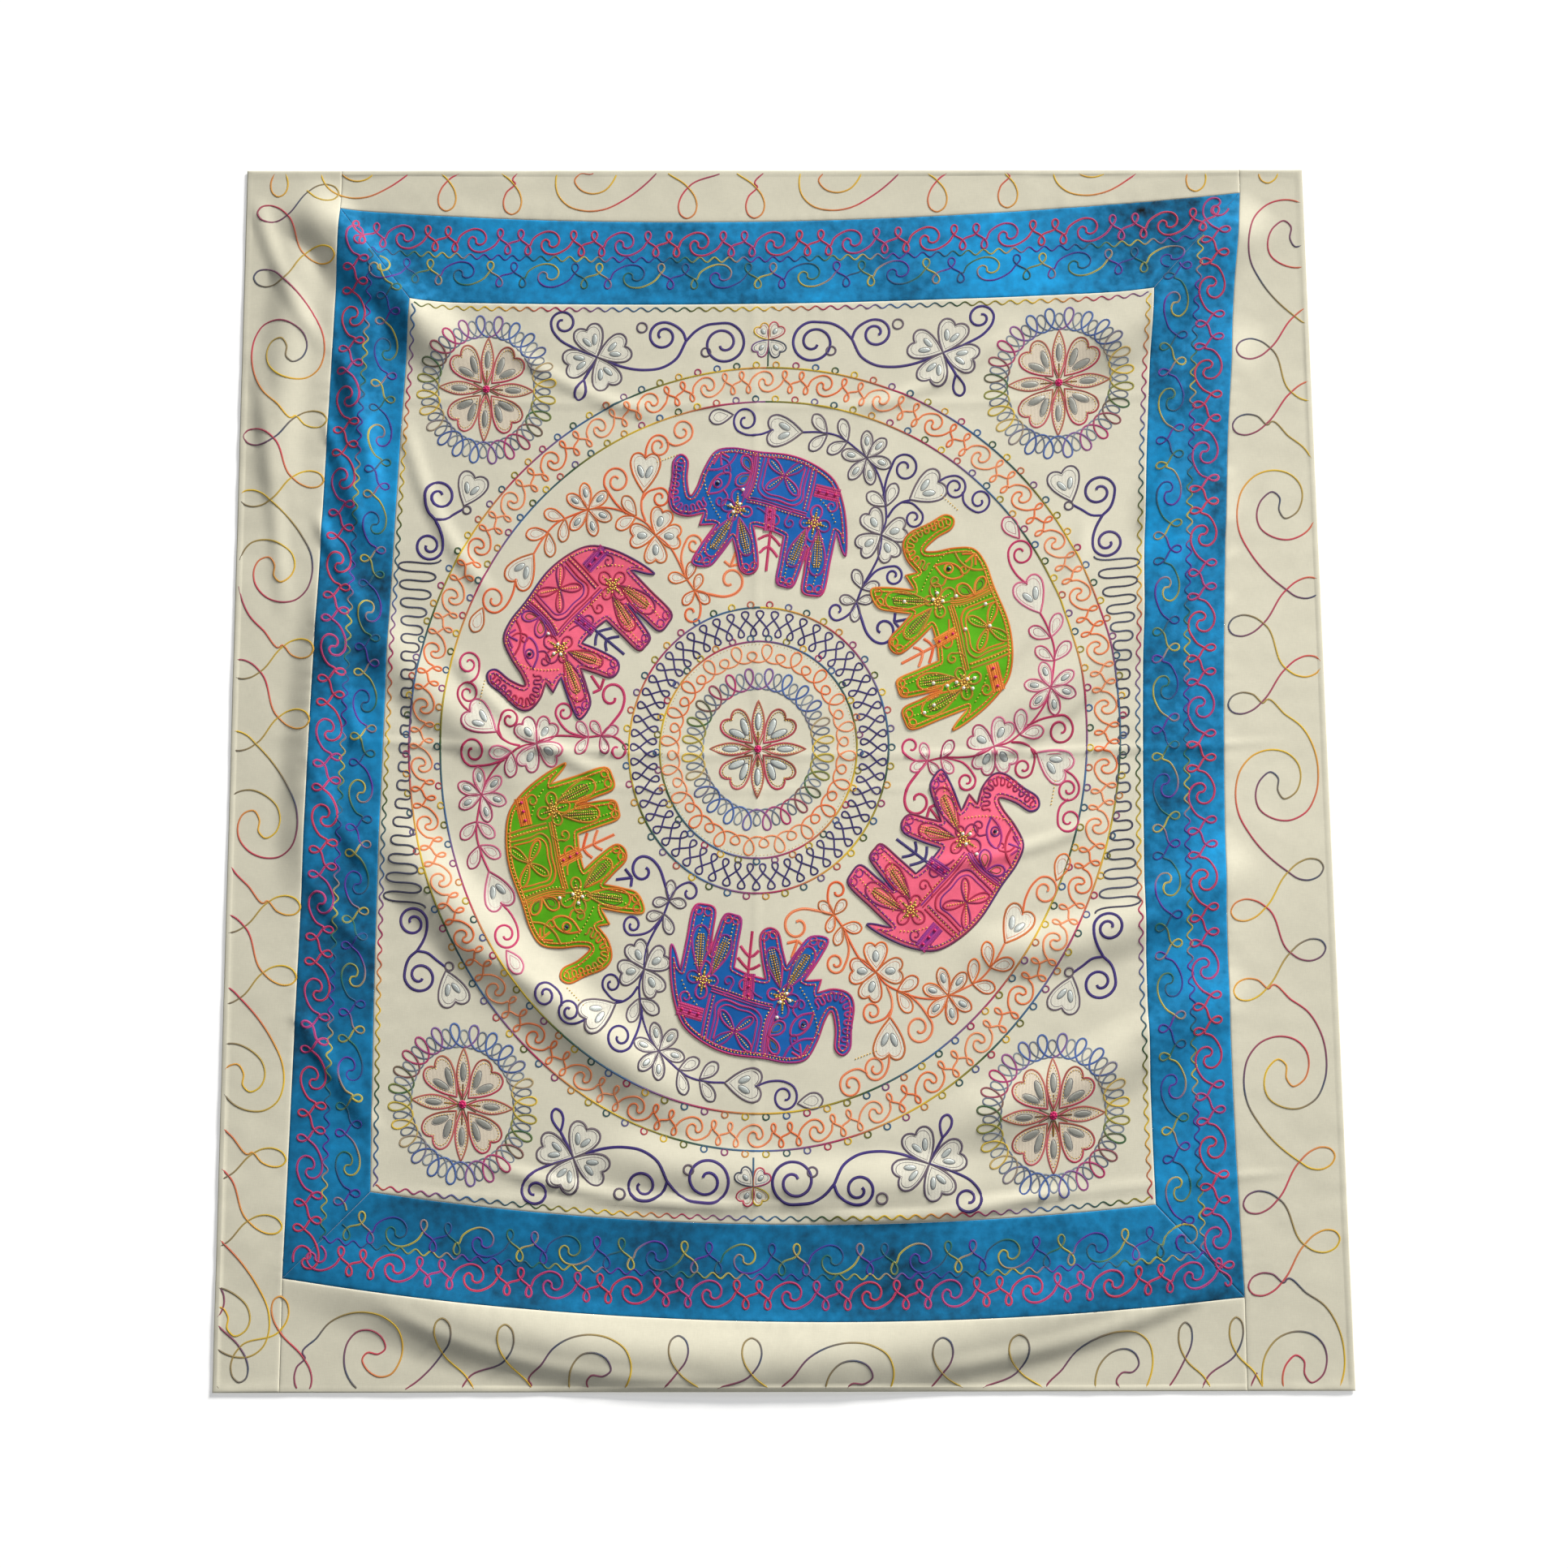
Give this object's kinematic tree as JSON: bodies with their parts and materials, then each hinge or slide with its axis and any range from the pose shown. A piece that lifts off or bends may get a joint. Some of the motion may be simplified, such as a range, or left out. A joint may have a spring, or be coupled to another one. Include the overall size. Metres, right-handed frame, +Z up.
{
  "type": "embroidered bedspread",
  "caption": "Rectangular cotton bedspread laid out with soft folds: white centre, mitred blue frame, white border and a ring of appliqued elephants.",
  "frame": {"origin": "middle of the bedspread's bounding box, on the surface it lies on", "axes": "+Z up through the cloth, +Y towards the top end of the pattern, +X towards its right side"},
  "size_m": [2.12, 2.374, 0.0195],
  "materials": {
    "centre_panel": "plain cotton",
    "blue_band_top": "dyed cotton",
    "blue_band_bottom": "dyed cotton",
    "blue_band_left": "dyed cotton",
    "blue_band_right": "dyed cotton",
    "border_top": "plain cotton",
    "border_bottom": "plain cotton",
    "border_left": "plain cotton",
    "border_right": "plain cotton",
    "elephant_blue_top": "dyed cotton",
    "elephant_pink_left": "dyed cotton",
    "elephant_green_left": "dyed cotton",
    "elephant_blue_bottom": "dyed cotton",
    "elephant_pink_right": "dyed cotton",
    "elephant_green_right": "dyed cotton"
  },
  "bodies": {
    "root": {"centre_panel": "centre_panel", "blue_band_top": "blue_band_top", "blue_band_bottom": "blue_band_bottom", "blue_band_left": "blue_band_left", "blue_band_right": "blue_band_right", "border_top": "border_top", "border_bottom": "border_bottom", "border_left": "border_left", "border_right": "border_right", "elephant_blue_top": "elephant_blue_top", "elephant_pink_left": "elephant_pink_left", "elephant_green_left": "elephant_green_left", "elephant_blue_bottom": "elephant_blue_bottom", "elephant_pink_right": "elephant_pink_right", "elephant_green_right": "elephant_green_right"}
  },
  "joints": []
}
